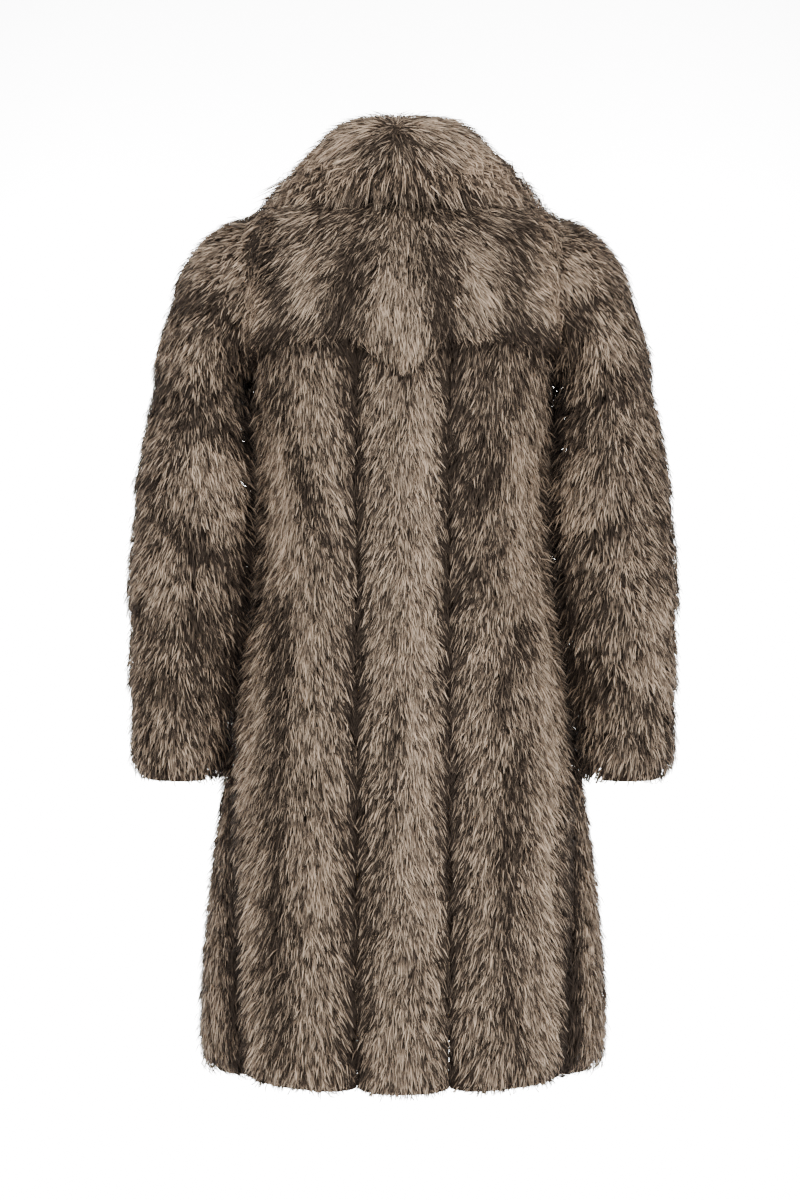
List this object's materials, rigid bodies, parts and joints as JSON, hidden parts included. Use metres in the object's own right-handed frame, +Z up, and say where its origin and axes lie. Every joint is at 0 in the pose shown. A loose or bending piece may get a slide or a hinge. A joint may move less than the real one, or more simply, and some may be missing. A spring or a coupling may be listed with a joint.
{
  "type": "fur coat",
  "caption": "Knee-length coat of long-haired grey-brown fur in vertical strips, with a shawl collar, a scalloped yoke and banded sleeves, worn shape with nothing in it.",
  "frame": {"origin": "middle of the neck opening, level with the nape seam, between the shoulders that hold the coat up", "axes": "+Z up, along the coat's length; +Y towards its back, the shortest extent; +X towards the wearer's left"},
  "size_m": [0.658, 0.3573, 1.1262],
  "materials": {
    "fur": "long-haired fur on pelt"
  },
  "bodies": {
    "root": {"collar": "fur", "yoke": "fur", "back_centre": "fur", "back_side_left": "fur", "back_side_right": "fur", "side_gore_left": "fur", "side_gore_right": "fur", "front_side_left": "fur", "front_side_right": "fur", "front_edge_left": "fur", "front_edge_right": "fur", "sleeve_left": "fur", "sleeve_right": "fur"}
  },
  "joints": []
}
